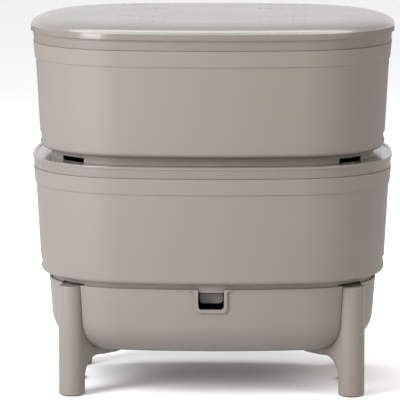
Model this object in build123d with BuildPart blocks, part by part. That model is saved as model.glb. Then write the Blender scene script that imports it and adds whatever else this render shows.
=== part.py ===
"""Worm composter: two stacked double-walled trays and a vented lid on a collecting basin with four legs.

Millimetres, +Z up. The origin lies on the floor under the centre of the basin. The front, with the
notch in the basin's rim, faces -Y. Every tray, the lid and the basin follow one oval plan outline,
drawn in or out by an inset from the tray's lip.
"""
import math
import os

from build123d import *

os.makedirs("parts", exist_ok=True)

# Plan outline at a tray's lip: an oval of eight tangent arcs
lip_length = 513.0
lip_width = 375.0
front_radius = 850.0
end_radius = 880.0
corner_radius = 145.0

# Clearances
seat_gap = 0.3
slip_gap = 0.5
screw_gap = 0.05
stem_gap = 0.08

# Basin
basin_underside = 63.0
basin_height = 96.5
basin_inset = 22.5
basin_draft = 4.5
basin_edge_radius = 48.0
basin_wall = 3.0
rib_thickness = 3.0
rib_depth = 5.5
front_rib_places = (-165.0, -90.0, 90.0, 165.0)
end_rib_places = (-45.0, 45.0)

# Notch in the front of the basin's rim
notch_width = 36.0
notch_depth = 28.6
notch_corner = 5.0
bead_width = 5.0
bead_height = 2.2

# Legs
leg_end_inset = 58.5
leg_front_inset = 70.5
leg_x = lip_length / 2 - leg_end_inset
leg_y = lip_width / 2 - leg_front_inset
post_radius = 18.5
post_top_drop = 1.5
post_edge = 2.0
arm_width = 28.0
arm_reach = 95.0
arm_depth = 11.5
arm_top_drop = 21.5
arch_radius = 27.0
pad_radius = 15.0
pad_height = 5.0
pad_standout = 1.5

# Leg screws
leg_screw_reach = 82.0
leg_screw_radius = 2.0
leg_screw_head_radius = 4.5
leg_screw_head_height = 3.0
leg_screw_length = 14.0
leg_boss_radius = 6.0
boss_roof = 3.0

# Tray shell
ring_nest = 5.0
ring_height = 13.0
ring_inset = 26.5
ring_wall = 2.5
ring_notch_height = 7.0
ring_notch_gap = 1.0
shell_height = 164.0
shell_wall = 2.5
shell_edge_radius = 7.0
shell_draft = 3.06
shell_inset = 4.6
shell_mouth_inset = 52.5
upper_band_height = 13.3
upper_band_inset = 0.9
upper_band_draft = 6.0
lower_band_height = 22.6
lower_band_inset = 1.1
lower_band_draft = 5.3
grip_length = 124.0
grip_height = 15.0
grip_rise = 7.5

# Tray bin
flange_thickness = 3.5
lip_height = 1.5
lip_breadth = 5.0
bin_inset = 29.0
bin_wall = 2.5
bin_draft = 1.0
bin_edge_radius = 12.0
floor_hole_radius = 1.9
floor_hole_pitch = 32.0
floor_hole_margin = 12.0

# Lid
lid_overhang = 2.5
lid_skirt_gap = 0.9
lid_skirt = 6.0
lid_skirt_drop = 2.4
lid_wall = 2.5
border_steps = ((2.0, 0.0), (9.0, 4.6), (20.0, 8.0), (36.0, 10.4), (57.0, 11.6))
locating_wall = 2.5
vent_radius = 2.0
vent_rows = (124.0, 60.0)
vent_places = (67.0, 83.0, 99.0, 115.0, 131.0)
vent_row_drop = 16.0

# Drain valve
drain_inset = 99.5
drain_y = drain_inset - lip_width / 2
outlet_bore = 4.5
outlet_tube_radius = 8.0
outlet_flange_radius = 17.0
outlet_flange_height = 3.0
outlet_drop = 0.6
gasket_height = 1.5
nut_radius = 14.0
nut_height = 3.5
plug_radius = 8.0
plug_height = 5.0
plug_nose = 3.0
stem_radius = 3.0
stem_socket = 3.5
clip_rise = 12.0
clip_height = 3.0
clip_radius = 7.0
spring_wire = 0.5
spring_radius = 5.2
spring_turns = 6.0

# Strainer over the drain
strainer_radius = 20.5
strainer_wall = 2.0
strainer_height = 46.0
strainer_roof = 2.5
strainer_slots = 16
slot_width = 3.0
slot_height = 26.0
slot_rise = 10.0
ear_reach = 27.5
ear_radius = 5.0
ear_thickness = 2.5
ear_boss_height = 8.0
ear_screw_radius = 1.5
ear_screw_head_radius = 3.0
ear_screw_head_height = 2.0
ear_screw_length = 8.0

# Finger tab of the drain valve
tab_width = 33.0
tab_height = 15.0
tab_thickness = 5.0
tab_corner = 6.0
tab_setback = 20.0
tab_drop = 7.8
tab_arm_width = 14.0
tab_arm_thickness = 4.0

# Levels worked out from the stack
basin_rim = basin_underside + basin_height
basin_floor = basin_underside + basin_wall
seat_level = basin_rim - ring_nest
lower_tray_base = seat_level + ring_height
ledge_height = shell_height + flange_thickness - lip_height
tray_pitch = ledge_height + ring_height
upper_tray_base = lower_tray_base + tray_pitch
top_ledge = upper_tray_base + ledge_height
lid_base = top_ledge + lip_height + lid_skirt_gap
flute_radius = post_radius + slip_gap
leg_places = ((-1, -1), (1, -1), (-1, 1), (1, 1))
leg_names = ("front_left", "front_right", "rear_left", "rear_right")


def corner_centre():
    """Centre of the +X +Y corner arc, which touches the front and the end arcs from inside."""
    to_front = front_radius - corner_radius
    to_end = end_radius - corner_radius
    front_y = lip_width / 2 - front_radius
    end_x = lip_length / 2 - end_radius
    spread = math.hypot(end_x, front_y)
    along = (to_front**2 - to_end**2 + spread**2) / (2 * spread)
    aside = math.sqrt(to_front**2 - along**2)
    step_x = end_x / spread
    step_y = -front_y / spread
    return along * step_x + aside * step_y, front_y + along * step_y - aside * step_x


def oval(inset):
    """Plan outline as a face, drawn in from the tray's lip by the inset."""
    corner_x, corner_y = corner_centre()
    front_y = lip_width / 2 - front_radius
    end_x = lip_length / 2 - end_radius
    front_turn = math.degrees(math.atan2(corner_y - front_y, corner_x))
    end_turn = math.degrees(math.atan2(corner_y, corner_x - end_x))
    corner_sweep = front_turn - end_turn
    with BuildSketch(Plane.XY) as outline:
        with BuildLine(Plane.XY):
            CenterArc((end_x, 0), end_radius - inset, -end_turn, 2 * end_turn)
            CenterArc((corner_x, corner_y), corner_radius - inset, end_turn, corner_sweep)
            CenterArc((0, front_y), front_radius - inset, front_turn, 180 - 2 * front_turn)
            CenterArc((-corner_x, corner_y), corner_radius - inset, 180 - front_turn, corner_sweep)
            CenterArc((-end_x, 0), end_radius - inset, 180 - end_turn, 2 * end_turn)
            CenterArc((-corner_x, -corner_y), corner_radius - inset, 180 + end_turn, corner_sweep)
            CenterArc((0, -front_y), front_radius - inset, 180 + front_turn, 180 - 2 * front_turn)
            CenterArc((corner_x, -corner_y), corner_radius - inset, -front_turn, corner_sweep)
        make_face()
    return outline.sketch


def slab(low, high, inset, draft=0.0):
    """Solid between two levels with the oval at its top, drawn in towards its bottom by the draft."""
    outline = oval(inset)
    with BuildPart() as shape:
        with BuildSketch(Plane.XY.offset(high)):
            add(outline)
        extrude(amount=low - high, taper=draft)
    return shape.part


def tub(low, high, inset, draft, edge_radius):
    """Solid bucket: a drafted slab with a rounded bottom edge."""
    with BuildPart() as shape:
        add(slab(low, high, inset, draft))
        fillet(shape.faces().sort_by(Axis.Z)[0].edges(), edge_radius)
    return shape.part


def disc(radius, low, high, place=(0, 0)):
    """Upright round solid between two levels."""
    with BuildPart() as shape:
        with BuildSketch(Plane.XY.offset(low)):
            with Locations(place):
                Circle(radius)
        extrude(amount=high - low)
    return shape.part


def save(piece, name):
    """Label a finished piece and write its file."""
    piece.part.label = name
    export_step(piece.part, f"parts/{name}.step")


# Collecting basin: bucket with four corner flutes for the posts, seat ribs and a notched front rim
def basin_envelope(clearance=0.0):
    """Outer solid of the basin, fluted at the corners."""
    with BuildPart() as shape:
        add(tub(basin_underside, basin_rim, basin_inset - clearance, basin_draft, basin_edge_radius))
        for side_x, side_y in leg_places:
            place = (side_x * leg_x, side_y * leg_y)
            add(disc(flute_radius - clearance, 0, basin_rim, place), mode=Mode.SUBTRACT)
    return shape.part


def basin_cavity(inset=0.0):
    """Inner space of the basin, which goes round the flutes."""
    wall_inset = basin_inset + basin_wall + inset
    edge_radius = basin_edge_radius - basin_wall - inset
    with BuildPart() as shape:
        add(tub(basin_floor, basin_rim, wall_inset, basin_draft, edge_radius))
        for side_x, side_y in leg_places:
            place = (side_x * leg_x, side_y * leg_y)
            add(disc(flute_radius + basin_wall, 0, basin_rim, place), mode=Mode.SUBTRACT)
    return shape.part


def seat_ribs():
    """Upright ribs that taper down inside the wall, and whose tops carry the tray's foot ring."""
    front_reach = lip_width / 2
    end_reach = lip_length / 2
    with BuildPart() as ribs:
        with BuildSketch(Plane.XY.offset(basin_floor)):
            with Locations(*[(place, 0) for place in front_rib_places]):
                Rectangle(rib_thickness, 2 * front_reach)
            with Locations(*[(0, place) for place in end_rib_places]):
                Rectangle(2 * end_reach, rib_thickness)
        extrude(amount=seat_level - basin_floor)
        add(basin_cavity(-basin_wall / 2), mode=Mode.INTERSECT)
        add(slab(basin_underside, basin_rim, basin_inset + basin_wall + rib_depth), mode=Mode.SUBTRACT)
    return ribs.part


def notch_prism(margin, reach):
    """Upright U-shaped prism through the front wall, as wide as the notch plus a margin."""
    front_y = -(lip_width / 2 - basin_inset)
    bottom = basin_rim - notch_depth - margin
    height = notch_depth + 2 * margin
    with BuildPart() as prism:
        with BuildSketch(Plane.XZ.offset(-front_y + reach)):
            with Locations((0, bottom + height / 2)):
                RectangleRounded(notch_width + 2 * margin, height, notch_corner + margin / 2)
        extrude(amount=-2 * reach)
    return prism.part


def screw_place(side_x, side_y):
    """Plan place of a leg screw, along the arm's diagonal."""
    step = leg_screw_reach * math.sqrt(0.5)
    return side_x * (leg_x - step), side_y * (leg_y - step)


leg_screw_tip = basin_underside - arm_depth + leg_screw_head_height + leg_screw_length
leg_boss_top = leg_screw_tip + boss_roof
notch_reach = 20.0
bead_trim = 12.0
with BuildPart() as basin:
    add(notch_prism(bead_width, notch_reach))
    add(slab(basin_underside, basin_rim, basin_inset - bead_height, basin_draft), mode=Mode.INTERSECT)
    add(slab(basin_underside, basin_rim, basin_inset + bead_trim), mode=Mode.SUBTRACT)
    add(basin_envelope())
    add(basin_cavity(), mode=Mode.SUBTRACT)
    add(seat_ribs())
    add(notch_prism(0, notch_reach), mode=Mode.SUBTRACT)
    for side_x, side_y in leg_places:
        place = screw_place(side_x, side_y)
        add(disc(leg_boss_radius, basin_floor, leg_boss_top, place))
        pilot = disc(leg_screw_radius + screw_gap, basin_underside, leg_screw_tip, place)
        add(pilot, mode=Mode.SUBTRACT)
    for side in (-1, 1):
        place = (side * ear_reach, drain_y)
        boss_top = basin_floor + ear_boss_height
        add(disc(ear_radius, basin_floor, boss_top, place))
        pilot_low = boss_top + ear_thickness - ear_screw_length
        add(disc(ear_screw_radius + screw_gap, pilot_low, boss_top, place), mode=Mode.SUBTRACT)
    outlet_hole = disc(outlet_tube_radius + screw_gap, basin_underside, basin_floor, (0, drain_y))
    add(outlet_hole, mode=Mode.SUBTRACT)
save(basin, "collecting_basin")


# Legs: a round post in the basin's flute, with a diagonal arm that cradles the basin's underside
def leg_at(side_x, side_y):
    """One leg, from its pad recess to its flat top."""
    arm_low = basin_underside - arm_depth
    arm_top = basin_rim - arm_top_drop
    axis = (side_x * leg_x, side_y * leg_y)
    inward = Vector(-side_x, -side_y, 0).normalized()
    upright = Plane(origin=(*axis, 0), x_dir=inward, z_dir=inward.cross(Vector(0, 0, 1)))
    arch_start = (post_radius, arm_low - arch_radius)
    arch_end = (post_radius + arch_radius, arm_low)
    with BuildPart() as post:
        add(disc(post_radius, pad_standout, basin_rim - post_top_drop, axis))
        fillet(post.edges().filter_by(GeomType.CIRCLE), post_edge)
    with BuildPart() as leg:
        with BuildSketch(upright):
            with BuildLine():
                Polyline((0, arch_start[1]), (0, arm_top), (arm_reach, arm_top), (arm_reach, arm_low), arch_end)
                RadiusArc(arch_end, arch_start, -arch_radius)
                Line(arch_start, (0, arch_start[1]))
            make_face()
        extrude(amount=arm_width / 2, both=True)
        add(post.part)
        add(basin_envelope(seat_gap), mode=Mode.SUBTRACT)
        add(disc(pad_radius + screw_gap, 0, pad_height, axis), mode=Mode.SUBTRACT)
        screw_axis = screw_place(side_x, side_y)
        add(disc(leg_screw_radius + screw_gap, 0, basin_underside, screw_axis), mode=Mode.SUBTRACT)
        head_top = arm_low + leg_screw_head_height
        add(disc(leg_screw_head_radius + screw_gap, 0, head_top, screw_axis), mode=Mode.SUBTRACT)
    return leg


for (side_x, side_y), name in zip(leg_places, leg_names):
    save(leg_at(side_x, side_y), f"leg_{name}")
    with BuildPart() as pad:
        add(disc(pad_radius, 0, pad_height, (side_x * leg_x, side_y * leg_y)))
    save(pad, f"foot_pad_{name}")

with BuildPart() as leg_screws:
    for side_x, side_y in leg_places:
        head_low = basin_underside - arm_depth
        head_top = head_low + leg_screw_head_height
        place = screw_place(side_x, side_y)
        add(disc(leg_screw_head_radius, head_low, head_top, place))
        add(disc(leg_screw_radius, head_top, leg_screw_tip, place))
save(leg_screws, "leg_screws")


# Tray shell: drafted outer wall with two bands, a turned-in bottom, a foot ring and two finger grips
def tray_shell(base):
    """Outer shell of a tray whose bottom edge lies at the base level."""
    upper_band_low = base + shell_height - upper_band_height
    lower_band_low = upper_band_low - lower_band_height
    band_draft = (base + shell_height - lower_band_low) * math.tan(math.radians(shell_draft))
    core_inset = shell_inset + shell_wall - band_draft
    core_radius = shell_edge_radius - shell_wall
    grip_middle = base + grip_rise + grip_height / 2
    bulge_radius = flute_radius + basin_wall + ring_notch_gap
    notch_top = base - ring_height + ring_notch_height
    with BuildPart() as shell:
        add(tub(base, lower_band_low, shell_inset, shell_draft, shell_edge_radius))
        add(slab(lower_band_low, upper_band_low, lower_band_inset, lower_band_draft))
        add(slab(upper_band_low, base + shell_height, upper_band_inset, upper_band_draft))
        core = tub(base + shell_wall, base + shell_height, core_inset, shell_draft, core_radius)
        add(core, mode=Mode.SUBTRACT)
        add(slab(base - ring_height, base, ring_inset))
        add(slab(base - ring_height, base, ring_inset + ring_wall), mode=Mode.SUBTRACT)
        add(slab(base - ring_height, base + shell_wall, shell_mouth_inset), mode=Mode.SUBTRACT)
        for side_x, side_y in leg_places:
            place = (side_x * leg_x, side_y * leg_y)
            add(disc(bulge_radius, base - ring_height, notch_top, place), mode=Mode.SUBTRACT)
        with BuildSketch(Plane.YZ):
            with Locations((0, grip_middle)):
                RectangleRounded(grip_length, grip_height, grip_height * 0.4)
        extrude(amount=lip_length, both=True, mode=Mode.SUBTRACT)
    return shell


# Tray bin: the inner bucket with a perforated floor, hung by a flange that carries the next tray
def inside_oval(x, y, inset):
    """Whether a plan point lies inside the oval drawn in by the inset."""
    corner_x, corner_y = corner_centre()
    past_x = abs(x) - corner_x
    past_y = abs(y) - corner_y
    in_front = math.hypot(x, abs(y) - lip_width / 2 + front_radius) <= front_radius - inset
    in_end = math.hypot(abs(x) - lip_length / 2 + end_radius, y) <= end_radius - inset
    in_corner = min(past_x, past_y) <= 0 or math.hypot(past_x, past_y) <= corner_radius - inset
    return in_front and in_end and in_corner


def floor_holes():
    """Plan places of the floor's holes, on a square grid kept clear of the rounded edge."""
    margin = bin_inset + bin_edge_radius + floor_hole_margin
    columns = int(lip_length / 2 / floor_hole_pitch)
    rows = int(lip_width / 2 / floor_hole_pitch)
    grid = [
        (column * floor_hole_pitch, row * floor_hole_pitch)
        for column in range(-columns, columns + 1)
        for row in range(-rows, rows + 1)
    ]
    return [place for place in grid if inside_oval(*place, margin)]


def tray_bin(base):
    """Inner bin of a tray whose shell's bottom edge lies at the base level."""
    rim = base + shell_height
    flange_top = rim + flange_thickness
    floor = base + shell_wall
    with BuildPart() as tray_bin:
        add(tub(floor, rim, bin_inset, bin_draft, bin_edge_radius))
        add(slab(rim, flange_top, 0))
        add(slab(base + ledge_height, flange_top, lip_breadth), mode=Mode.SUBTRACT)
        core = tub(floor + bin_wall, flange_top, bin_inset + bin_wall, bin_draft, bin_edge_radius - bin_wall)
        add(core, mode=Mode.SUBTRACT)
        with BuildSketch(Plane.XY.offset(floor)):
            with Locations(*floor_holes()):
                Circle(floor_hole_radius)
        extrude(amount=bin_wall, mode=Mode.SUBTRACT)
    return tray_bin


for name, base in (("lower_tray", lower_tray_base), ("upper_tray", upper_tray_base)):
    save(tray_shell(base), f"{name}_shell")
    save(tray_bin(base), f"{name}_bin")


# Lid: a shallow cap with a rising border, a locating ring and two groups of air vents
def lid_cap(offset):
    """Solid cap shape, drawn in and down by the offset."""
    level = lid_base + lid_skirt - offset
    steps = [(inset + offset - lid_overhang, level + rise) for inset, rise in border_steps]
    with BuildPart() as cap:
        add(slab(lid_base, level, offset - lid_overhang))
        for (low_inset, low), (high_inset, high) in zip(steps[:-1], steps[1:]):
            low_outline = oval(low_inset)
            high_outline = oval(high_inset)
            with BuildPart(mode=Mode.PRIVATE) as step:
                with BuildSketch(Plane.XY.offset(low)):
                    add(low_outline)
                with BuildSketch(Plane.XY.offset(high)):
                    add(high_outline)
                loft(ruled=True)
            add(step.part)
    return cap.part


def vent_points():
    """Plan places of the vents, in rows that draw in towards the lid's ends."""
    first = vent_places[0]
    span = vent_places[-1] - first
    return [
        (side * x, face * (row - vent_row_drop * (x - first) / span))
        for side in (-1, 1)
        for face in (-1, 1)
        for row in vent_rows
        for x in vent_places
    ]


def locating_ring():
    """Ring under the lid that stands on the top tray's ledge, just inside its raised lip."""
    inset = lip_breadth + slip_gap
    with BuildPart() as ring:
        add(slab(top_ledge, lid_base + lid_skirt, inset))
        add(slab(top_ledge, lid_base + lid_skirt, inset + locating_wall), mode=Mode.SUBTRACT)
    return ring.part


lid_top = lid_base + lid_skirt + border_steps[-1][1]
with BuildPart() as lid:
    add(lid_cap(0.0))
    add(lid_cap(lid_wall), mode=Mode.SUBTRACT)
    add(slab(lid_base - lid_skirt_drop, lid_base, -lid_overhang))
    add(slab(lid_base - lid_skirt_drop, lid_base, -slip_gap), mode=Mode.SUBTRACT)
    add(locating_ring())
    with BuildSketch(Plane.XY.offset(lid_top - 2 * lid_wall)):
        with Locations(*vent_points()):
            Circle(vent_radius)
    extrude(amount=3 * lid_wall, mode=Mode.SUBTRACT)
save(lid, "lid")


# Drain outlet: a flanged tube through the basin's floor, sealed by a gasket and held by a nut
drain_place = (0, drain_y)
gasket_top = basin_floor + gasket_height
outlet_top = gasket_top + outlet_flange_height
outlet_low = basin_underside - nut_height - outlet_drop
with BuildPart() as outlet:
    add(disc(outlet_tube_radius, outlet_low, gasket_top, drain_place))
    add(disc(outlet_flange_radius, gasket_top, outlet_top, drain_place))
    add(disc(outlet_bore, outlet_low, outlet_top, drain_place), mode=Mode.SUBTRACT)
save(outlet, "drain_outlet")

with BuildPart() as gasket:
    add(disc(outlet_flange_radius, basin_floor, gasket_top, drain_place))
    add(disc(outlet_tube_radius + screw_gap, basin_floor, gasket_top, drain_place), mode=Mode.SUBTRACT)
save(gasket, "outlet_gasket")

with BuildPart() as nut:
    with BuildSketch(Plane.XY.offset(basin_underside - nut_height)):
        with Locations(drain_place):
            RegularPolygon(nut_radius, 6)
            Circle(outlet_tube_radius + screw_gap, mode=Mode.SUBTRACT)
    extrude(amount=nut_height)
save(nut, "outlet_nut")

# Drain valve: a rubber plug on a stem that a finger lifts by the tab behind the notch
plug_top = outlet_top + plug_height
with BuildPart() as plug:
    add(disc(plug_radius, outlet_top, plug_top, drain_place))
    add(disc(outlet_bore - seat_gap, outlet_top - plug_nose, outlet_top, drain_place))
    socket = disc(stem_radius + screw_gap, plug_top - stem_socket, plug_top, drain_place)
    add(socket, mode=Mode.SUBTRACT)
save(plug, "drain_plug")

tab_front = -(lip_width / 2 - basin_inset - tab_setback)
tab_top = basin_rim - tab_drop
tab_arm_top = tab_top - tab_arm_thickness
with BuildPart() as tab:
    add(disc(stem_radius, plug_top - stem_socket, tab_arm_top, drain_place))
    with BuildSketch(Plane.XY.offset(tab_arm_top - tab_arm_thickness)):
        with Locations((0, (drain_y + tab_front + tab_thickness) / 2)):
            Rectangle(tab_arm_width, drain_y - tab_front - tab_thickness)
        with Locations(drain_place):
            Circle(tab_arm_width / 2)
    extrude(amount=tab_arm_thickness)
    with BuildSketch(Plane.XZ.offset(-tab_front - tab_thickness)):
        with Locations((0, tab_top - tab_height / 2)):
            tongue = Rectangle(tab_width, tab_height)
        fillet(tongue.vertices().group_by(Axis.Z)[0], tab_corner)
    extrude(amount=tab_thickness)
save(tab, "drain_tab")

clip_low = plug_top + clip_rise
clip_top = clip_low + clip_height
with BuildPart() as clip:
    add(disc(clip_radius, clip_low, clip_top, drain_place))
    add(disc(stem_radius + screw_gap, clip_low, clip_top, drain_place), mode=Mode.SUBTRACT)
save(clip, "spring_clip")

strainer_top = basin_floor + strainer_height
roof_low = strainer_top - strainer_roof
spring_low = clip_top + spring_wire + screw_gap
spring_height = roof_low - spring_wire - screw_gap - spring_low
with BuildPart() as spring:
    with BuildLine(Plane((0, drain_y, spring_low))) as coil:
        Helix(spring_height / spring_turns, spring_height, spring_radius)
    with BuildSketch(Plane(coil.line @ 0, z_dir=coil.line % 0)):
        Circle(spring_wire)
    sweep(path=coil.line, is_frenet=True)
save(spring, "drain_spring")

# Strainer: a slotted cage round the valve, whose roof guides the stem and backs the spring
with BuildPart() as strainer:
    add(disc(strainer_radius, basin_floor, strainer_top, drain_place))
    add(disc(strainer_radius - strainer_wall, basin_floor, roof_low, drain_place), mode=Mode.SUBTRACT)
    ear_low = basin_floor + ear_boss_height
    with BuildSketch(Plane.XY.offset(ear_low)):
        with Locations(drain_place):
            SlotCenterToCenter(2 * ear_reach, 2 * ear_radius)
            Circle(strainer_radius - strainer_wall / 2, mode=Mode.SUBTRACT)
    extrude(amount=ear_thickness)
    add(disc(stem_radius + stem_gap, roof_low, strainer_top, drain_place), mode=Mode.SUBTRACT)
    with Locations((0, drain_y, basin_floor + slot_rise + slot_height / 2)):
        with PolarLocations(strainer_radius, strainer_slots, start_angle=180 / strainer_slots):
            Box(4 * strainer_wall, slot_width, slot_height, mode=Mode.SUBTRACT)
    for side in (-1, 1):
        place = (side * ear_reach, drain_y)
        hole = disc(ear_screw_radius + screw_gap, ear_low, ear_low + ear_thickness, place)
        add(hole, mode=Mode.SUBTRACT)
save(strainer, "drain_strainer")

with BuildPart() as strainer_screws:
    for side in (-1, 1):
        place = (side * ear_reach, drain_y)
        head_low = ear_low + ear_thickness
        add(disc(ear_screw_head_radius, head_low, head_low + ear_screw_head_height, place))
        add(disc(ear_screw_radius, head_low - ear_screw_length, head_low, place))
save(strainer_screws, "strainer_screws")
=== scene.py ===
import math

import bmesh
import bpy
from mathutils import Matrix, Vector


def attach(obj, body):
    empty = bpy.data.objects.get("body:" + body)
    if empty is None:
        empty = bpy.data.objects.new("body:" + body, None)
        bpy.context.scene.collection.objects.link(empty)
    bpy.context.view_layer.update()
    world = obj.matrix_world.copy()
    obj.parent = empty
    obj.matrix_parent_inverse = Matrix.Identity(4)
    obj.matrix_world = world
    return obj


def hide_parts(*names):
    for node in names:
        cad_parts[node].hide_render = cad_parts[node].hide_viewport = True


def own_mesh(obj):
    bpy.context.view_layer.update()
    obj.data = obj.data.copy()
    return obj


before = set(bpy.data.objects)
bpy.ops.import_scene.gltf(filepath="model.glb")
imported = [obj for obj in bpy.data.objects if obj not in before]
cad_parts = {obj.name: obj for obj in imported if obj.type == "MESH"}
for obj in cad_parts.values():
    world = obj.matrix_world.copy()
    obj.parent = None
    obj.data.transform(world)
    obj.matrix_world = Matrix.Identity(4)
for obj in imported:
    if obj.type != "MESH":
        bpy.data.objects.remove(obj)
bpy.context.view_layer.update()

# Collecting basin
# The bucket that gathers the liquid, one moulding of greige polypropylene with a 3 mm wall. Its plan is
# the oval that the trays and the lid share, drawn in by an inset from a tray's lip. A flute in each
# corner takes a leg, ribs carry the tray's foot ring, and a raised bead frames the notch in the rim.
lip_length = 513.0
lip_width = 375.0
front_radius = 850.0
end_radius = 880.0
corner_radius = 145.0
turning_radius = 200.0
deepest_inset = 90.0
plan_steps = 240
weld_distance = 0.001
cutter_low = 40.0
cutter_margin = 10.0

basin_underside = 63.0
basin_rim = 159.5
basin_inset = 22.5
basin_draft = math.tan(math.radians(4.5))
basin_wall = 3.0
basin_floor = basin_underside + basin_wall
basin_bottom_rounding = 44.4
leg_x = 198.0
leg_y = 117.0
flute_radius = 19.0
screw_reach = 82.0
screw_x = leg_x - screw_reach * math.sqrt(0.5)
screw_y = leg_y - screw_reach * math.sqrt(0.5)
drain_y = -88.0
ear_reach = 27.5
leg_boss_radius = 6.0
leg_boss_top = 71.5
leg_pilot_radius = 2.05
ear_boss_radius = 5.0
ear_boss_top = 74.0
ear_pilot_radius = 1.55
pilot_end = 68.5
outlet_bore = 8.05

notch_half = 18.0
notch_bottom = 130.9
notch_corner = 5.0
bead_width = 5.0
bead_height = 2.8
bead_root = 1.5
bead_lip = 1.8
bead_flare = 9.0
bead_fillet = 4.5
bead_rounding = 7.5

rib_low = 96.0
rib_top = 154.5
rib_half = 1.5
rib_root = 0.8
rib_face = 5.5

front_middle = lip_width / 2 - front_radius
end_middle = lip_length / 2 - end_radius
to_front = front_radius - corner_radius
to_end = end_radius - corner_radius
spread = math.hypot(end_middle, front_middle)
along = (to_front**2 - to_end**2 + spread**2) / (2 * spread)
aside = math.sqrt(to_front**2 - along**2)
corner_x = (along * end_middle - aside * front_middle) / spread
corner_y = front_middle - (along * front_middle + aside * end_middle) / spread
front_turn = math.atan2(corner_y - front_middle, corner_x)
end_turn = math.atan2(corner_y, corner_x - end_middle)
post_places = [(side_x * leg_x, side_y * leg_y) for side_x in (-1, 1) for side_y in (-1, 1)]


def oval_place(turn, inset):
    """Plan place on the oval drawn in by an inset, where the outline faces the given way."""
    across = abs(math.cos(turn))
    deep = abs(math.sin(turn))
    facing = math.atan2(deep, across)
    centre, radius = (corner_x, corner_y), corner_radius
    if facing < end_turn:
        centre, radius = (end_middle, 0.0), end_radius
    if facing > front_turn:
        centre, radius = (0.0, front_middle), front_radius
    x = centre[0] + (radius - inset) * across
    y = centre[1] + (radius - inset) * deep
    return math.copysign(x, math.cos(turn)), math.copysign(y, math.sin(turn))


def turned(profile, steps, closed=False):
    """Mesh spun round the upright axis from a profile of (reach, level, rounding) corners."""
    bm = bmesh.new()
    corners = [bm.verts.new((reach, 0, level)) for reach, level, rounding in profile]
    ends = corners[1:] + corners[:1] if closed else corners[1:]
    for start, end in zip(corners, ends):
        bm.edges.new((start, end))
    for corner, (reach, level, rounding) in zip(corners, profile):
        if rounding:
            segments = 3 + int(rounding / 3)
            bmesh.ops.bevel(
                bm,
                geom=[corner],
                offset=rounding,
                segments=segments,
                profile=0.5,
                affect="VERTICES",
                material=-1,
            )
    bmesh.ops.spin(
        bm,
        geom=bm.verts[:] + bm.edges[:],
        cent=(0, 0, 0),
        axis=(0, 0, 1),
        angle=2 * math.pi,
        steps=steps,
        use_merge=True,
    )
    bmesh.ops.remove_doubles(bm, verts=bm.verts, dist=weld_distance)
    bmesh.ops.recalc_face_normals(bm, faces=bm.faces)
    return bm


def oval_turned(profile, closed=False):
    """Mesh spun from a profile of (inset, level, rounding) corners and pressed to the plan oval."""
    round_profile = [(turning_radius - inset, level, size) for inset, level, size in profile]
    bm = turned(round_profile, plan_steps, closed)
    for vert in bm.verts:
        reach = math.hypot(vert.co.x, vert.co.y)
        inset = min(turning_radius - reach, deepest_inset)
        shrink = min(1.0, reach / (turning_radius - deepest_inset))
        x, y = oval_place(math.atan2(vert.co.y, vert.co.x), inset)
        vert.co.x = x * shrink
        vert.co.y = y * shrink
    return bm


def rod(bm, radius, low, high, place, sides=48):
    """Upright round bar added to a mesh."""
    middle = Matrix.Translation((place[0], place[1], (low + high) / 2))
    made = bmesh.ops.create_cone(
        bm,
        cap_ends=True,
        segments=sides,
        radius1=radius,
        radius2=radius,
        depth=high - low,
        matrix=middle,
    )
    return made["verts"]


def block(bm, low, high):
    """Box between two corners added to a mesh."""
    low, high = Vector(low), Vector(high)
    size = Matrix.Diagonal((*(high - low), 1))
    made = bmesh.ops.create_cube(bm, size=1, matrix=Matrix.Translation((low + high) / 2) @ size)
    return made["verts"]


def shaped(bm, tool, operation="DIFFERENCE"):
    """The mesh after another mesh is cut out of it or joined to it."""
    pair = []
    for source in (bm, tool):
        mesh = bpy.data.meshes.new("scratch")
        source.to_mesh(mesh)
        source.free()
        holder = bpy.data.objects.new("scratch", mesh)
        bpy.context.scene.collection.objects.link(holder)
        pair.append(holder)
    cut = pair[0].modifiers.new("cut", "BOOLEAN")
    cut.operation = operation
    cut.solver = "EXACT"
    cut.object = pair[1]
    result = bmesh.new()
    result.from_object(pair[0], bpy.context.evaluated_depsgraph_get())
    for holder in pair:
        mesh = holder.data
        bpy.data.objects.remove(holder)
        bpy.data.meshes.remove(mesh)
    return result


def added(bm, other):
    """The mesh with another mesh standing in it."""
    mesh = bpy.data.meshes.new("scratch")
    other.to_mesh(mesh)
    other.free()
    bm.from_mesh(mesh)
    bpy.data.meshes.remove(mesh)
    return bm


def dressed(bm, name, body, node, material, edge=0.0, second=None):
    """Finished piece in metres, in place of its node, with its hard edges softened."""
    bmesh.ops.scale(bm, vec=(0.001, 0.001, 0.001), verts=bm.verts)
    mesh = bpy.data.meshes.new(name)
    bm.to_mesh(mesh)
    bm.free()
    mesh.shade_smooth()
    mesh.materials.append(material)
    if second:
        mesh.materials.append(second)
    piece = bpy.data.objects.new(name, mesh)
    bpy.context.scene.collection.objects.link(piece)
    if edge:
        soften = piece.modifiers.new("softened edges", "BEVEL")
        soften.width = edge / 1000
        soften.segments = 2
        soften.limit_method = "ANGLE"
        soften.angle_limit = math.radians(55)
        soften.use_clamp_overlap = False
    even = piece.modifiers.new("even shading", "WEIGHTED_NORMAL")
    even.weight = 100
    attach(piece, body)
    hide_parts(node)
    return piece


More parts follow.
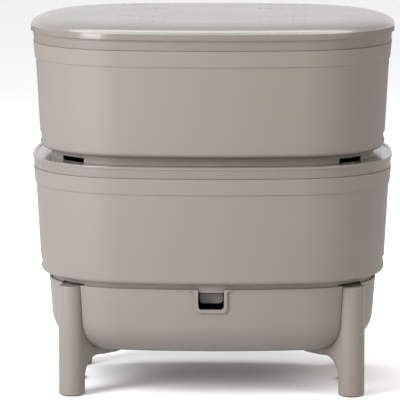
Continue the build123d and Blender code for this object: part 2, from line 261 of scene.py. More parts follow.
def moulded_skin():
    """Shader group for a moulded surface: broad mottle, fine grain, faint ripple and paler edges that
    are partly wear, partly painted highlight.
    """
    group = bpy.data.node_groups.new("moulded_skin", "ShaderNodeTree")
    face = group.interface
    for label, kind, value in (
        ("Colour", "NodeSocketColor", (0.5, 0.5, 0.5, 1)),
        ("Edge Colour", "NodeSocketColor", (0.6, 0.6, 0.6, 1)),
        ("Mottle", "NodeSocketFloat", 0.04),
        ("Roughness", "NodeSocketFloat", 0.4),
        ("Roughness Spread", "NodeSocketFloat", 0.1),
        ("Edge Wear And Highlight", "NodeSocketFloat", 0.3),
        ("Grain Scale", "NodeSocketFloat", 1500.0),
        ("Ripple", "NodeSocketFloat", 0.5),
    ):
        face.new_socket(label, in_out="INPUT", socket_type=kind).default_value = value
    face.new_socket("Colour", in_out="OUTPUT", socket_type="NodeSocketColor")
    face.new_socket("Roughness", in_out="OUTPUT", socket_type="NodeSocketFloat")
    face.new_socket("Height", in_out="OUTPUT", socket_type="NodeSocketFloat")
    nodes, links = group.nodes, group.links
    given = nodes.new("NodeGroupInput").outputs
    result = nodes.new("NodeGroupOutput").inputs
    spot = nodes.new("ShaderNodeTexCoord").outputs["Object"]

    def noise(scale, detail):
        """Noise over the piece's own coordinates."""
        texture = nodes.new("ShaderNodeTexNoise")
        texture.inputs["Detail"].default_value = detail
        links.new(spot, texture.inputs["Vector"])
        if isinstance(scale, float):
            texture.inputs["Scale"].default_value = scale
        else:
            links.new(scale, texture.inputs["Scale"])
        return texture.outputs["Fac"]

    def reckon(operation, *terms):
        """Arithmetic on two or three values."""
        sum_node = nodes.new("ShaderNodeMath")
        sum_node.operation = operation
        for socket, term in zip(sum_node.inputs, terms):
            if isinstance(term, float):
                socket.default_value = term
            else:
                links.new(term, socket)
        return sum_node.outputs[0]

    broad = reckon("SUBTRACT", noise(9.0, 3.0), 0.5)
    grain = noise(given["Grain Scale"], 2.0)
    ripple = noise(140.0, 1.0)
    # Paler colour on sharp convex edges from pointiness: partly wear, partly a painted highlight along
    # the rims.
    raised = nodes.new("ShaderNodeMapRange")
    raised.inputs["From Min"].default_value = 0.52
    raised.inputs["From Max"].default_value = 0.62
    links.new(nodes.new("ShaderNodeNewGeometry").outputs["Pointiness"], raised.inputs["Value"])
    wear_and_highlight = reckon("MULTIPLY", raised.outputs["Result"], given["Edge Wear And Highlight"])
    wear_and_highlight = reckon("MULTIPLY", wear_and_highlight, reckon("ADD", 0.6, noise(60.0, 4.0)))
    shade = nodes.new("ShaderNodeHueSaturation")
    links.new(given["Colour"], shade.inputs["Color"])
    links.new(reckon("MULTIPLY_ADD", broad, given["Mottle"], 1.0), shade.inputs["Value"])
    blend = nodes.new("ShaderNodeMix")
    blend.data_type = "RGBA"
    links.new(wear_and_highlight, blend.inputs["Factor"])
    links.new(shade.outputs["Color"], blend.inputs[6])
    links.new(given["Edge Colour"], blend.inputs[7])
    links.new(blend.outputs[2], result["Colour"])
    rough = reckon("MULTIPLY_ADD", broad, given["Roughness Spread"], given["Roughness"])
    links.new(reckon("MULTIPLY_ADD", wear_and_highlight, 0.15, rough), result["Roughness"])
    links.new(reckon("MULTIPLY_ADD", ripple, given["Ripple"], grain), result["Height"])
    return group


skin = moulded_skin()


def skinned(name, colour, edge_colour, roughness, bump, depth, values):
    """Material that takes its colour, roughness and relief from the moulded skin."""
    material = bpy.data.materials.new(name)
    material.use_nodes = True
    nodes, links = material.node_tree.nodes, material.node_tree.links
    shader = nodes["Principled BSDF"]
    surface = nodes.new("ShaderNodeGroup")
    surface.node_tree = skin
    surface.inputs["Colour"].default_value = (*colour, 1)
    surface.inputs["Edge Colour"].default_value = (*edge_colour, 1)
    surface.inputs["Roughness"].default_value = roughness
    for label, value in values:
        surface.inputs[label].default_value = value
    relief = nodes.new("ShaderNodeBump")
    relief.inputs["Strength"].default_value = bump
    relief.inputs["Distance"].default_value = depth
    links.new(surface.outputs["Colour"], shader.inputs["Base Color"])
    links.new(surface.outputs["Roughness"], shader.inputs["Roughness"])
    links.new(surface.outputs["Height"], relief.inputs["Height"])
    links.new(relief.outputs["Normal"], shader.inputs["Normal"])
    return material, shader


def plastic(name, colour, edge_colour, roughness, bump, values=(), coat=0.0):
    """Material of a moulded piece, with a clear gloss over it where coat is above 0."""
    material, shader = skinned(name, colour, edge_colour, roughness, bump, 0.0002, values)
    shader.inputs["IOR"].default_value = 1.43
    shader.inputs["Coat Weight"].default_value = coat
    shader.inputs["Coat Roughness"].default_value = 0.08
    return material


greige_colour = (0.202, 0.177, 0.158)
greige_edge = (0.29, 0.262, 0.237)
greige = plastic(
    "greige_gloss",
    colour=greige_colour,
    edge_colour=greige_edge,
    roughness=0.46,
    bump=0.12,
    coat=0.05,
)
# A darker, glossier copy of the greige. The gloss is real; the darker colour is painted shade on the
# trays' upper bands, and the lid wears it too.
greige_polished_painted_shade = plastic(
    "greige_polished_painted_shade",
    colour=(0.176, 0.154, 0.136),
    edge_colour=(0.27, 0.243, 0.218),
    roughness=0.26,
    bump=0.06,
    values=(("Edge Wear And Highlight", 0.0),),
    coat=0.2,
)


def basin_block(gap=0.0):
    """Outer solid of the basin with its four flutes, grown by a gap."""
    bottom_inset = basin_inset - gap + (basin_rim - basin_underside) * basin_draft
    bm = oval_turned(
        (
            (turning_radius, basin_underside, 0),
            (bottom_inset, basin_underside, basin_bottom_rounding),
            (basin_inset - gap, basin_rim, 0),
            (turning_radius, basin_rim, 0),
        )
    )
    flutes = bmesh.new()
    for place in post_places:
        rod(flutes, flute_radius - gap, cutter_low, basin_rim + cutter_margin, place, sides=72)
    return shaped(bm, flutes)


def basin_space():
    """Inner space of the basin, which goes round the flutes."""
    inset = basin_inset + basin_wall
    bottom_inset = inset + (basin_rim - basin_floor) * basin_draft
    above = basin_rim + cutter_margin
    bm = oval_turned(
        (
            (turning_radius, basin_floor, 0),
            (bottom_inset, basin_floor, basin_bottom_rounding - basin_wall),
            (inset, basin_rim, 0),
            (inset, above, 0),
            (turning_radius, above, 0),
        )
    )
    bulges = bmesh.new()
    for place in post_places:
        rod(bulges, flute_radius + basin_wall, cutter_low, above + cutter_margin, place, sides=72)
    return shaped(bm, bulges)


def wall_reach(x, level, inset):
    """How far from the middle line the basin's long side lies at a place."""
    drawn_in = inset + (basin_rim - level) * basin_draft
    past = abs(x) - corner_x
    radius = corner_radius - drawn_in
    if past > radius * math.cos(front_turn):
        return corner_y + math.sqrt(radius**2 - past**2)
    return front_middle + math.sqrt((front_radius - drawn_in) ** 2 - x**2)


def notch_cutter():
    """Upright bar with rounded lower corners that cuts the notch."""
    bm = bmesh.new()
    low_corner = (-notch_half, -lip_width / 2, notch_bottom)
    block(bm, low_corner, (notch_half, -100, basin_rim + cutter_margin))
    lower = [
        edge
        for edge in bm.edges
        if all(vert.co.z < notch_bottom + 1 for vert in edge.verts)
        and abs(edge.verts[0].co.x - edge.verts[1].co.x) < 1
    ]
    bmesh.ops.bevel(
        bm, geom=lower, offset=notch_corner, segments=6, profile=0.5, affect="EDGES", material=-1
    )
    return bm


def notch_bead():
    """Raised frame round the notch, which flares into the rim at its top."""
    outer = notch_half + bead_width
    low = notch_bottom - bead_width
    lip = basin_rim - bead_lip
    outline = (
        (notch_half, basin_rim, 0),
        (notch_half, notch_bottom, notch_corner),
        (-notch_half, notch_bottom, notch_corner),
        (-notch_half, basin_rim, 0),
        (-outer - bead_flare, basin_rim, 0),
        (-outer - bead_flare, lip, 0),
        (-outer, lip, bead_fillet),
        (-outer, low, bead_rounding),
        (outer, low, bead_rounding),
        (outer, lip, bead_fillet),
        (outer + bead_flare, lip, 0),
        (outer + bead_flare, basin_rim, 0),
    )
    bm = bmesh.new()
    corners = [bm.verts.new((x, 0, level)) for x, level, rounding in outline]
    bm.faces.new(corners)
    for corner, (x, level, rounding) in zip(corners, outline):
        if rounding:
            bmesh.ops.bevel(
                bm,
                geom=[corner],
                offset=rounding,
                segments=6,
                profile=0.5,
                affect="VERTICES",
                material=-1,
            )
    back = bm.faces[:]
    front = bmesh.ops.extrude_face_region(bm, geom=back)["geom"]
    for vert in front:
        if isinstance(vert, bmesh.types.BMVert):
            vert.co.y = -1
    for vert in bm.verts:
        proud = bead_height if vert.co.y < -0.5 else -bead_root
        vert.co.y = -wall_reach(vert.co.x, vert.co.z, basin_inset - proud)
    bmesh.ops.recalc_face_normals(bm, faces=bm.faces)
    return bm


basin = shaped(basin_block(), basin_space())
basin = shaped(basin, notch_cutter())
bosses = bmesh.new()
pilots = bmesh.new()
for side_x in (-1, 1):
    for side_y in (-1, 1):
        place = (side_x * screw_x, side_y * screw_y)
        rod(bosses, leg_boss_radius, basin_underside + 1, leg_boss_top, place, sides=32)
        rod(pilots, leg_pilot_radius, 50, pilot_end, place, sides=24)
    place = (side_x * ear_reach, drain_y)
    rod(bosses, ear_boss_radius, basin_underside + 1, ear_boss_top, place, sides=32)
    rod(pilots, ear_pilot_radius, pilot_end, 80, place, sides=24)
rod(pilots, outlet_bore, 50, 80, (0, drain_y))
basin = shaped(shaped(basin, bosses, "UNION"), pilots)


def seat_rib(bm, along_x, place, side, wall):
    """Rib inside the wall that widens upwards from nothing to carry the foot ring."""
    corners = ((-rib_half, 0.0, rib_low), (rib_half, 1.0, rib_top))
    for vert in block(bm, *corners):
        inner = vert.co.y > 0.5
        drawn_in = (rib_top - vert.co.z) * basin_draft
        depth = rib_face if inner and vert.co.z > rib_low + 1 else -rib_root
        across = place + vert.co.x
        reach = side * (wall - drawn_in - depth)
        vert.co.x, vert.co.y = (across, reach) if along_x else (reach, across)


for side in (-1, 1):
    for x in (-165.0, -90.0, 90.0, 165.0):
        seat_rib(basin, True, x, side, wall_reach(x, rib_top, basin_inset + basin_wall))
    for y in (-45.0, 45.0):
        seat_rib(basin, False, y, side, lip_length / 2 - basin_inset - basin_wall - 1.1)
added(basin, notch_bead())
dressed(basin, "basin_moulding", "base", "collecting_basin", greige, edge=0.7)

# Drain outlet, its gasket and its nut
# A flanged tube of darker greige nylon goes down through the basin's floor. A flat rubber washer under
# its flange seals it, and a six-sided nut draws it tight from below.
greige_fine = plastic(
    "greige_fine",
    colour=(0.19, 0.163, 0.143),
    edge_colour=(0.26, 0.23, 0.205),
    roughness=0.48,
    bump=0.3,
)
seal_rubber = plastic(
    "seal_rubber",
    colour=(0.028, 0.028, 0.027),
    edge_colour=(0.07, 0.068, 0.065),
    roughness=0.75,
    bump=0.5,
    values=(("Mottle", 0.3),),
)


def set_at(bm, x, y):
    """The mesh moved to a plan place."""
    bmesh.ops.translate(bm, vec=(x, y, 0), verts=bm.verts)
    return bm


def twisted(bm, degrees):
    """The mesh turned round the upright axis."""
    turn = Matrix.Rotation(math.radians(degrees), 3, "Z")
    bmesh.ops.rotate(bm, cent=(0, 0, 0), matrix=turn, verts=bm.verts)
    return bm


tube_radius = 8.0
tube_bore = 4.5
tube_end = 58.9
flange_radius = 17.0
flange_low = 67.5
flange_top = 70.5
outlet = turned(
    (
        (tube_radius, tube_end, 0.7),
        (tube_radius, flange_low, 0),
        (flange_radius, flange_low, 0.5),
        (flange_radius, flange_top, 0.8),
        (tube_bore, flange_top, 0.6),
        (tube_bore, tube_end, 0.5),
    ),
    steps=64,
    closed=True,
)
dressed(set_at(outlet, 0, drain_y), "outlet_tube", "base", "drain_outlet", greige_fine)

gasket = turned(
    (
        (outlet_bore, basin_floor, 0.3),
        (flange_radius, basin_floor, 0.5),
        (flange_radius, flange_low, 0.5),
        (outlet_bore, flange_low, 0.3),
    ),
    steps=64,
    closed=True,
)
dressed(set_at(gasket, 0, drain_y), "outlet_washer", "base", "outlet_gasket", seal_rubber)

nut_radius = 14.0
nut_low = 59.5
nut = bmesh.new()
rod(nut, nut_radius, nut_low, basin_underside, (0, 0), sides=6)
twisted(nut, 30)
bore = bmesh.new()
rod(bore, outlet_bore, 50, 70, (0, 0), sides=64)
nut = set_at(shaped(nut, bore), 0, drain_y)
dressed(nut, "outlet_hex_nut", "base", "outlet_nut", greige_fine, edge=0.6)

# Drain valve: stopper, finger tab, clip and spring
# A rubber stopper closes the outlet and hangs on the stem of a greige tab. A finger put through the
# notch lifts the tab's tongue, and a steel spring between the clip and the strainer's roof shuts it.
stem_radius = 3.0
stem_hole = 3.05
stem_foot = 72.0
stopper_top = 75.5
tongue_half = 16.5
tongue_low = 136.7
tongue_top = 151.7
carrier_low = 143.7
carrier_top = 147.7
clip_low = 87.5
clip_top = 90.5
clip_mouth = 1.2
clip_radius = 7.0
spring_low = 90.55
spring_high = 109.45
spring_turns = 6
spring_steps = 192
coil_radius = 5.2
wire_radius = 0.5
stopper = turned(
    (
        (0, flange_low, 0),
        (4.2, flange_low, 1.2),
        (4.2, flange_top, 0),
        (8.0, flange_top, 0.5),
        (8.0, 72.2, 0.5),
        (6.9, 73.0, 0.4),
        (6.9, 74.3, 0.4),
        (7.7, stopper_top, 0.5),
        (stem_hole, stopper_top, 0.2),
        (stem_hole, stem_foot, 0),
        (0, stem_foot, 0),
    ),
    steps=48,
)
dressed(set_at(stopper, 0, drain_y), "stopper", "drain_valve", "drain_plug", seal_rubber)

tongue = bmesh.new()
block(tongue, (-tongue_half, -145, tongue_low), (tongue_half, -140, tongue_top))
lower_corners = [
    edge
    for edge in tongue.edges
    if abs(edge.verts[0].co.y - edge.verts[1].co.y) > 1 and edge.verts[0].co.z < 140
]
bmesh.ops.bevel(
    tongue, geom=lower_corners, offset=6, segments=8, profile=0.5, affect="EDGES", material=-1
)
carrier = bmesh.new()
block(carrier, (-7, -140.5, carrier_low), (7, drain_y, carrier_top))
tab_boss = bmesh.new()
rod(tab_boss, 7.0, carrier_low, carrier_top, (0, drain_y), sides=48)
stem = turned(
    ((0, stem_foot, 0), (stem_radius, stem_foot, 0.4), (stem_radius, 145, 0), (0, 145, 0)),
    steps=32,
)
set_at(stem, 0, drain_y)
tab = tongue
for member in (carrier, tab_boss, stem):
    tab = shaped(tab, member, "UNION")
dressed(tab, "finger_tab", "drain_valve", "drain_tab", greige, edge=0.8)

clip = turned(
    (
        (stem_hole, clip_low, 0.2),
        (clip_radius, clip_low, 0.6),
        (clip_radius, clip_top, 0.6),
        (stem_hole, clip_top, 0.2),
    ),
    steps=48,
    closed=True,
)
mouth = bmesh.new()
block(mouth, (-clip_mouth, 0, 80), (clip_mouth, 10, 100))
clip = shaped(clip, mouth)
set_at(clip, 0, drain_y)
dressed(clip, "stem_clip", "drain_valve", "spring_clip", greige_fine)


def metal(name, colour, roughness):
    """Bright steel with a fine grain."""
    values = (("Roughness Spread", 0.3), ("Grain Scale", 4000))
    material, shader = skinned(name, colour, (0.8, 0.8, 0.79), roughness, 0.2, 0.00005, values)
    shader.inputs["Metallic"].default_value = 1
    return material


spring_steel = metal("spring_steel", (0.58, 0.58, 0.59), 0.3)
screw_steel = metal("screw_steel", (0.52, 0.52, 0.53), 0.35)

coil = bmesh.new()
bmesh.ops.create_circle(
    coil,
    cap_ends=False,
    radius=wire_radius,
    segments=10,
    matrix=Matrix.Translation((coil_radius, 0, spring_low)) @ Matrix.Rotation(math.pi / 2, 4, "X"),
)
bmesh.ops.spin(
    coil,
    geom=coil.verts[:] + coil.edges[:],
    cent=(0, 0, 0),
    axis=(0, 0, 1),
    dvec=(0, 0, (spring_high - spring_low) / spring_steps),
    angle=2 * math.pi * spring_turns,
    steps=spring_steps,
    use_merge=False,
)
bmesh.ops.holes_fill(coil, edges=coil.edges, sides=0)
bmesh.ops.recalc_face_normals(coil, faces=coil.faces)
coil_spring = dressed(
    set_at(coil, 0, drain_y), "coil_spring", "base", "drain_spring", spring_steel
)
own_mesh(coil_spring)

# Strainer and its screws
# A slotted cage of greige nylon over the valve keeps solids out of the drain, guides the stem in its
# roof and backs the spring. Two small screws hold its ears to bosses on the basin's floor.


def screw(head_radius, head_height, shank_radius, length):
    """Pan head screw, head down and point up, with a cross recess."""
    bm = turned(
        (
            (0, 0, 0),
            (head_radius * 0.8, 0, 0.2),
            (head_radius, head_height * 0.5, 0.3),
            (head_radius, head_height, 0.1),
            (shank_radius, head_height, 0),
            (shank_radius, length - shank_radius, 0),
            (0, length, 0),
        ),
        steps=32,
    )
    cross = bmesh.new()
    arm = head_radius * 0.55
    width = head_radius * 0.13
    depth = head_height * 0.6
    block(cross, (-arm, -width, -1), (arm, width, depth))
    bar = bmesh.new()
    block(bar, (-width, -arm, -1), (width, arm, depth))
    return shaped(bm, shaped(cross, bar, "UNION"))


cage_radius = 20.5
cage_inside = 18.5
cage_top = 112.0
roof_low = 109.5
roof_hole = 3.08
slot_half = 1.5
slot_low = 76.0
slot_top = 102.0
slot_step = 22.5
ear_top = 76.5
ear_rounding = 4.95
core_radius = 12.0
trim_radius = 19.5
cage = turned(
    (
        (cage_radius, basin_floor, 0.4),
        (cage_radius, cage_top, 1.5),
        (roof_hole, cage_top, 0.4),
        (roof_hole, roof_low, 0.3),
        (cage_inside, roof_low, 1.0),
        (cage_inside, basin_floor, 0.3),
    ),
    steps=96,
    closed=True,
)
slots = bmesh.new()
for index in range(8):
    turn = Matrix.Rotation(math.radians(slot_step * (index + 0.5)), 4, "Z")
    bar = block(slots, (-30, -slot_half, slot_low), (30, slot_half, slot_top))
    bmesh.ops.transform(slots, matrix=turn, verts=bar)
core = bmesh.new()
rod(core, core_radius, 70, 105, (0, 0))
cage = shaped(cage, shaped(slots, core, "UNION"))
ear_end = ear_reach + ear_boss_radius
ears = bmesh.new()
block(ears, (-ear_end, -ear_boss_radius, ear_boss_top), (ear_end, ear_boss_radius, ear_top))
ends = [edge for edge in ears.edges if abs(edge.verts[0].co.z - edge.verts[1].co.z) > 1]
bmesh.ops.bevel(
    ears, geom=ends, offset=ear_rounding, segments=8, profile=0.5, affect="EDGES", material=-1
)
holes = bmesh.new()
rod(holes, trim_radius, 60, 90, (0, 0), sides=96)
for side in (-1, 1):
    rod(holes, ear_pilot_radius, 60, 90, (side * ear_reach, 0), sides=24)
cage = set_at(shaped(cage, shaped(ears, holes), "UNION"), 0, drain_y)
dressed(cage, "strainer_cage", "base", "drain_strainer", greige_fine, edge=0.3)

cage_screws = bmesh.new()
for side in (-1, 1):
    one = screw(head_radius=3.0, head_height=2.0, shank_radius=1.5, length=10.0)
    bmesh.ops.scale(one, vec=(1, 1, -1), verts=one.verts)
    bmesh.ops.reverse_faces(one, faces=one.faces)
    bmesh.ops.translate(one, vec=(side * ear_reach, drain_y, ear_top + 2.0), verts=one.verts)
    added(cage_screws, one)
dressed(cage_screws, "cage_screws", "base", "strainer_screws", screw_steel, edge=0.12)

# Legs, foot pads and leg screws
# Four mouldings of the basin's own greige polypropylene. Each is a round post in the basin's flute,
# whose arm curves under the basin and takes one screw from below. A rubber pad stands under it.
post_radius = 18.5
arch_radius = 27.0
arm_low = 51.5
arm_top = 138.0
arm_reach = 95.0
arm_half = 14.0
arm_nose = ((60, 13.5), (78, 13.0), (88, 12.6), (92.5, 11.4), (94.5, 9.2), (arm_reach, 6.5))
post_low = 1.5
post_top = 158.0
pad_top = 5.0
pad_radius = 15.0
pad_recess = 15.05
head_recess = 4.55
head_recess_top = 54.5
groove_depth = 1.0
flute_gap = 0.3
leg_signs = ((-1, -1, "front_left"), (1, -1, "front_right"), (-1, 1, "rear_left"), (1, 1, "rear_right"))


def leg_arm():
    """Arm along +X from a post at the origin: a round-nosed web that curves out of the post."""
    start = post_radius - 0.05
    stations = []
    for step in range(11):
        turn = math.radians(9 * step)
        radius = start + (arm_half - start) * (step / 10) ** 2
        reach = post_radius + arch_radius - (arch_radius + radius) * math.cos(turn)
        level = arm_low - arch_radius + (arch_radius + radius) * math.sin(turn)
        stations.append((reach, level, -math.cos(turn), math.sin(turn), radius))
    for reach, radius in arm_nose:
        stations.append((reach, arm_low + 13.0, 0.0, 1.0, radius))
    bm = bmesh.new()
    last = None
    for reach, level, up_x, up_z, radius in stations:
        verts = bmesh.ops.create_circle(bm, cap_ends=False, radius=radius, segments=48)["verts"]
        for vert in verts:
            lift, side = vert.co.x, vert.co.y
            if lift > 0.01:
                vert.co = (reach, side, arm_top)
            else:
                vert.co = (reach + up_x * lift, side, level + up_z * lift)
        ring = list({edge for vert in verts for edge in vert.link_edges})
        if last:
            bmesh.ops.bridge_loops(bm, edges=last + ring)
        last = [edge for edge in ring if edge.is_valid]
    bmesh.ops.holes_fill(bm, edges=bm.edges, sides=0)
    bmesh.ops.recalc_face_normals(bm, faces=bm.faces)
    return bm


leg = turned(
    ((0, post_low, 0), (post_radius, post_low, 1.5), (post_radius, post_top, 2.2), (0, post_top, 0)),
    steps=72,
)
leg = twisted(shaped(leg, leg_arm(), "UNION"), 225)
set_at(leg, leg_x, leg_y)
leg = shaped(leg, basin_block(flute_gap))
recesses = bmesh.new()
rod(recesses, pad_recess, -5, pad_top, (leg_x, leg_y), sides=64)
rod(recesses, head_recess, cutter_low, head_recess_top, (screw_x, screw_y), sides=32)
leg = shaped(leg, recesses)

pad_rubber = plastic(
    "pad_rubber",
    colour=(0.06, 0.058, 0.055),
    edge_colour=(0.11, 0.105, 0.1),
    roughness=0.8,
    bump=0.6,
    values=(("Mottle", 0.25),),
)
leg_screws = bmesh.new()
for side_x, side_y, corner in leg_signs:
    moulding = leg.copy()
    bmesh.ops.scale(moulding, vec=(side_x, side_y, 1), verts=moulding.verts)
    if side_x * side_y < 0:
        bmesh.ops.reverse_faces(moulding, faces=moulding.faces)
    dressed(moulding, f"{corner}_leg", "base", f"leg_{corner}", greige, edge=0.8)
    pad = turned(
        (
            (0, pad_top, 0),
            (pad_radius, pad_top, 0.4),
            (pad_radius, 0, 1.2),
            (11.0, 0, 0.3),
            (11.0, groove_depth, 0.2),
            (9.5, groove_depth, 0.2),
            (9.5, 0, 0.3),
            (5.5, 0, 0.3),
            (5.5, groove_depth, 0.2),
            (4.0, groove_depth, 0.2),
            (4.0, 0, 0.3),
            (0, 0, 0),
        ),
        steps=64,
    )
    set_at(pad, side_x * leg_x, side_y * leg_y)
    dressed(pad, f"{corner}_pad", "base", f"foot_pad_{corner}", pad_rubber)
    one = screw(head_radius=4.5, head_height=3.0, shank_radius=2.0, length=17.0)
    bmesh.ops.translate(one, vec=(side_x * screw_x, side_y * screw_y, arm_low), verts=one.verts)
    added(leg_screws, one)
leg.free()
dressed(leg_screws, "leg_screw_set", "base", "leg_screws", screw_steel, edge=0.15)

# Tray shells
# The outer walls of the two trays, the same greige moulding twice. Each flares out in two bands near
# its rim, with a fine groove between them, and its bottom turns in to a foot ring. The ring has a
# notch at each leg, and a long slot in both ends takes the fingers that lift the tray.
lower_base = 167.5
tray_pitch = 179.0
shell_draft = math.tan(math.radians(3.06))
wall_height = 128.1
joint_height = 150.7
rim_height = 164.0
panel = 2.5
ring_depth = 13.0
ring_outer = 26.5
ring_inner = 29.0
ring_notch_radius = 23.0
ring_notch_top = 6.0
grip_half = 62.0
grip_low = 7.5
grip_top = 22.5
grip_rounding = 6.0
trays = (("lower_tray", lower_base), ("upper_tray", lower_base + tray_pitch))


def tray_shell(base):
    """Outer shell of the tray whose bottom edge lies at a level."""
    wall_top = base + wall_height
    band_joint = base + joint_height
    rim = base + rim_height
    bottom = base + panel
    lip_inset = 5.2
    wall_inset = 4.6
    bm = oval_turned(
        (
            (52.5, bottom, 0.5),
            (52.5, base, 0.5),
            (ring_inner, base, 0),
            (ring_inner, base - ring_depth, 0.6),
            (ring_outer, base - ring_depth, 0.6),
            (ring_outer, base, 0.5),
            (wall_inset + wall_height * shell_draft, base, 6.6),
            (wall_inset, wall_top, 0.3),
            (3.2, wall_top, 0.6),
            (1.1, band_joint, 0.4),
            (3.0, band_joint, 0),
            (3.0, band_joint + 0.6, 0),
            (2.2, band_joint + 0.6, 0.2),
            (0.9, rim, 0.3),
            (lip_inset, rim, 0.3),
            (lip_inset + (rim_height - panel) * shell_draft, bottom, 4.3),
        ),
        closed=True,
    )
    cutters = bmesh.new()
    for place in post_places:
        rod(cutters, ring_notch_radius, base - 20, base - ring_notch_top, place, sides=64)
    block(cutters, (-300, -grip_half, base + grip_low), (300, grip_half, base + grip_top))
    long_edges = [edge for edge in cutters.edges if edge.calc_length() > 500]
    bmesh.ops.bevel(
        cutters,
        geom=long_edges,
        offset=grip_rounding,
        segments=8,
        profile=0.5,
        affect="EDGES",
        material=-1,
    )
    bm = shaped(bm, cutters)
    # Faces of the upper band take the darker copy: painted shade in its colour, real gloss in its
    # finish.
    for face in bm.faces:
        shaded_band_face = face.calc_center_median().z > band_joint + 0.3 and abs(face.normal.z) < 0.5
        face.material_index = int(shaded_band_face)
    return bm


for name, base in trays:
    dressed(
        tray_shell(base),
        f"{name}_wall",
        name,
        f"{name}_shell",
        greige,
        edge=0.5,
        second=greige_polished_painted_shade,
    )

# Tray bins
# The inner buckets that hold the compost, hung in the shells by a glossy flange. A low lip round the
# flange keeps the next foot ring in place, and small holes on a square grid let worms and liquid pass.
hole_pitch = 32.0
hole_radius = 1.9
hole_margin = 53.0
mouth_inset = 46.0
flange_height = 2.0
lip_height = 3.5
bin_draft = math.tan(math.radians(1.0))


def inside_oval(x, y, inset):
    """Whether a plan place lies inside the oval drawn in by an inset."""
    past_x = abs(x) - corner_x
    past_y = abs(y) - corner_y
    in_front = math.hypot(x, abs(y) - front_middle) <= front_radius - inset
    in_end = math.hypot(abs(x) - end_middle, y) <= end_radius - inset
    in_corner = min(past_x, past_y) <= 0 or math.hypot(past_x, past_y) <= corner_radius - inset
    return in_front and in_end and in_corner


def pierced(bm, low, high, places, radius, sides):
    """The turned mesh with its open mouth closed by a flat panel that has round holes through it."""
    rings = []
    for level in (low, high):
        border = [
            edge
            for edge in bm.edges
            if edge.is_boundary and all(abs(vert.co.z - level) < 0.01 for vert in edge.verts)
        ]
        made = []
        for x, y in places:
            verts = bmesh.ops.create_circle(
                bm,
                cap_ends=False,
                radius=radius,
                segments=sides,
                matrix=Matrix.Translation((x, y, level)),
            )["verts"]
            made.append(list({edge for vert in verts for edge in vert.link_edges}))
        outline = border + [edge for ring in made for edge in ring]
        bmesh.ops.triangle_fill(bm, use_beauty=True, edges=outline, normal=(0, 0, 1))
        rings.append(made)
    for lower, upper in zip(*rings):
        bmesh.ops.bridge_loops(bm, edges=lower + upper)
    bmesh.ops.recalc_face_normals(bm, faces=bm.faces)
    return bm


def tray_bin(base):
    """Inner bin of the tray whose shell's bottom edge lies at a level."""
    floor = base + panel
    rim = base + rim_height
    inner = ring_inner + panel
    drop = rim_height - panel
    bm = oval_turned(
        (
            (mouth_inset, floor, 0),
            (ring_inner + drop * bin_draft, floor, 11.8),
            (ring_inner, rim, 0.8),
            (0.0, rim, 0.4),
            (0.0, rim + lip_height, 0.9),
            (5.0, rim + lip_height, 0.5),
            (5.0, rim + flange_height, 0.3),
            (inner, rim + flange_height, 1.2),
            (inner + (drop + flange_height - panel) * bin_draft, floor + panel, 9.4),
            (mouth_inset, floor + panel, 0),
        )
    )
    columns = range(-8, 9)
    grid = [(column * hole_pitch, row * hole_pitch) for column in columns for row in columns]
    places = [place for place in grid if inside_oval(*place, hole_margin)]
    return pierced(bm, floor, floor + panel, places, hole_radius, sides=12)


greige_satin = plastic(
    "greige_satin",
    colour=greige_colour,
    edge_colour=greige_edge,
    roughness=0.2,
    bump=0.12,
    values=(("Edge Wear And Highlight", 0.0),),
    coat=0.3,
)
for name, base in trays:
    dressed(tray_bin(base), f"{name}_bucket", name, f"{name}_bin", greige_satin)

# Lid
# A shallow greige cap whose border curves up from a small step to a flat top. Two groups of small
# round vents go through it, its skirt hangs just past the tray's lip, and a ring under it stands on
# the top tray's flange, inside that lip.
skirt_low = 512.5
skirt_top = 520.9
step_low = 514.9
seat = 518.4
lid_top = 532.5
lid_wall = 2.5
vent_inset = 58.0
lid = oval_turned(
    (
        (vent_inset, lid_top - lid_wall, 0),
        (36.0, lid_top - 3.7, 6),
        (20.0, lid_top - 6.1, 4),
        (9.0, lid_top - 9.5, 0.5),
        (8.0, lid_top - 10.2, 0.3),
        (8.0, skirt_low, 0.5),
        (5.5, skirt_low, 0.5),
        (5.5, 520.4, 0.3),
        (2.0, seat, 0.5),
        (0.0, seat, 0.5),
        (0.0, step_low, 0.3),
        (-0.5, step_low, 0.3),
        (-0.5, skirt_low, 0.4),
        (-2.5, skirt_low, 0.7),
        (-2.0, skirt_top, 0.8),
        (-0.1, skirt_top, 0.5),
        (6.5, lid_top - 7.0, 4),
        (17.5, lid_top - 3.6, 6),
        (33.5, lid_top - 1.2, 8),
        (54.5, lid_top, 3),
        (vent_inset, lid_top, 0),
    )
)
vent_radius = 2.0
vent_places = [
    (side * x, face * (row - 16.0 * (x - 67.0) / 64.0))
    for side in (-1, 1)
    for face in (-1, 1)
    for row in (124.0, 60.0)
    for x in (67.0, 83.0, 99.0, 115.0, 131.0)
]
pierced(lid, lid_top - lid_wall, lid_top, vent_places, vent_radius, sides=16)
# The lid wears the glossy greige whose darker colour is painted shade.
dressed(lid, "vented_lid", "lid_body", "lid", greige_polished_painted_shade)
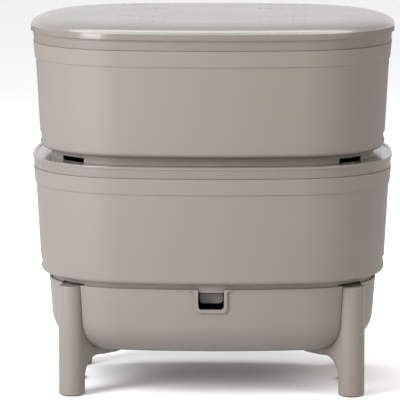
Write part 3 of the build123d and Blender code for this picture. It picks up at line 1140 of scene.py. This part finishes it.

# Floor, backdrop and light
# A white floor that takes the soft shadow and has painted shade round the object from a glow that rises
# away from it, with a tall lamp at the front left, a weaker warm one at the front right, one overhead
# and a white surround.


def white_floor_painted_shade(name, lit, painted_shade_glow, far_glow):
    """White floor that takes the object's shadow, with painted shade: a camera-only glow, least round a
    point just behind the object's middle, rises outward into the white surround.
    """
    material = bpy.data.materials.new(name)
    material.use_nodes = True
    nodes, links = material.node_tree.nodes, material.node_tree.links
    shader = nodes["Principled BSDF"]
    shader.inputs["Base Color"].default_value = (lit, lit, lit, 1)
    shader.inputs["Roughness"].default_value = 0.9
    shader.inputs["Specular IOR Level"].default_value = 0.1
    shader.inputs["Emission Color"].default_value = (1, 1, 1, 1)
    # Painted shade: the camera-only glow is lowest near a point just behind the object's middle and
    # rises outward.
    around = nodes.new("ShaderNodeMapping")
    around.vector_type = "TEXTURE"
    around.inputs["Location"].default_value = (0, 0.14, 0)
    around.inputs["Scale"].default_value = (0.19, 0.24, 1)
    links.new(nodes.new("ShaderNodeTexCoord").outputs["Object"], around.inputs["Vector"])
    distance = nodes.new("ShaderNodeVectorMath")
    distance.operation = "LENGTH"
    links.new(around.outputs["Vector"], distance.inputs[0])
    painted_shade_fade = nodes.new("ShaderNodeMapRange")
    painted_shade_fade.interpolation_type = "SMOOTHSTEP"
    painted_shade_fade.inputs["From Min"].default_value = 0.4
    painted_shade_fade.inputs["From Max"].default_value = 2.6
    painted_shade_fade.inputs["To Min"].default_value = painted_shade_glow
    painted_shade_fade.inputs["To Max"].default_value = far_glow
    links.new(distance.outputs["Value"], painted_shade_fade.inputs["Value"])
    path = nodes.new("ShaderNodeLightPath")
    strength = nodes.new("ShaderNodeMath")
    strength.operation = "MULTIPLY"
    links.new(path.outputs["Is Camera Ray"], strength.inputs[0])
    links.new(painted_shade_fade.outputs["Result"], strength.inputs[1])
    links.new(strength.outputs[0], shader.inputs["Emission Strength"])
    return material


floor_sheet = bmesh.new()
bmesh.ops.create_grid(floor_sheet, x_segments=1, y_segments=1, size=12)
floor_mesh = bpy.data.meshes.new("floor")
floor_sheet.to_mesh(floor_mesh)
floor_sheet.free()
floor_mesh.materials.append(white_floor_painted_shade("floor_white_painted_shade", lit=0.88, painted_shade_glow=0.02, far_glow=0.55))
floor = bpy.data.objects.new("floor", floor_mesh)
bpy.context.scene.collection.objects.link(floor)

surround_light = 0.32
world = bpy.data.worlds.new("surround")
bpy.context.scene.world = world
world.use_nodes = True
sky = world.node_tree.nodes["Background"]
sky.inputs["Color"].default_value = (1, 1, 1, 1)
path = world.node_tree.nodes.new("ShaderNodeLightPath")
level = world.node_tree.nodes.new("ShaderNodeMapRange")
level.inputs["To Min"].default_value = surround_light
level.inputs["To Max"].default_value = 1.0
seen = path.outputs["Is Camera Ray"]
for ray in ("Is Transmission Ray", "Is Glossy Ray"):
    either = world.node_tree.nodes.new("ShaderNodeMath")
    either.operation = "MAXIMUM"
    world.node_tree.links.new(seen, either.inputs[0])
    world.node_tree.links.new(path.outputs[ray], either.inputs[1])
    seen = either.outputs[0]
world.node_tree.links.new(seen, level.inputs["Value"])
world.node_tree.links.new(level.outputs["Result"], sky.inputs["Strength"])


def softbox(name, place, aim, width, height, colour, power):
    """Rectangular lamp that faces a point."""
    lamp = bpy.data.lights.new(name, "AREA")
    lamp.color = colour
    lamp.shape = "RECTANGLE"
    lamp.size = width
    lamp.size_y = height
    lamp.energy = power
    holder = bpy.data.objects.new(name, lamp)
    bpy.context.scene.collection.objects.link(holder)
    holder.location = place
    holder.rotation_euler = (Vector(aim) - Vector(place)).to_track_quat("-Z", "Y").to_euler()


softbox(
    "front_left_lamp",
    place=(-1.6, -1.5, 1.35),
    aim=(0, 0, 0.3),
    width=1.0,
    height=1.9,
    colour=(1.0, 1.0, 1.02),
    power=88,
)
softbox(
    "front_right_lamp",
    place=(2.0, -1.5, 1.3),
    aim=(0, 0, 0.3),
    width=1.3,
    height=1.3,
    colour=(1.0, 0.93, 0.82),
    power=22,
)
softbox(
    "overhead_lamp",
    place=(0, 0.7, 2.35),
    aim=(0, 0, 0.5),
    width=2.4,
    height=0.7,
    colour=(1.0, 1.0, 1.0),
    power=34,
)

camera = bpy.data.cameras.new("camera")
camera.lens = 360.9
camera.sensor_width = 36
camera.clip_end = 50
camera_holder = bpy.data.objects.new("camera", camera)
bpy.context.scene.collection.objects.link(camera_holder)
bpy.context.scene.camera = camera_holder
view_turn = math.radians(0.8)
aim_offset = math.radians(0.1843)
look_down = 8.57
camera_distance = 5.7
camera_height = 1.121
camera_x = camera_distance * math.sin(view_turn)
camera_y = -camera_distance * math.cos(view_turn)
camera_holder.location = (camera_x, camera_y, camera_height)
camera_holder.rotation_euler = (math.radians(90 - look_down), 0, view_turn + aim_offset)
bpy.context.scene.view_settings.view_transform = "Standard"
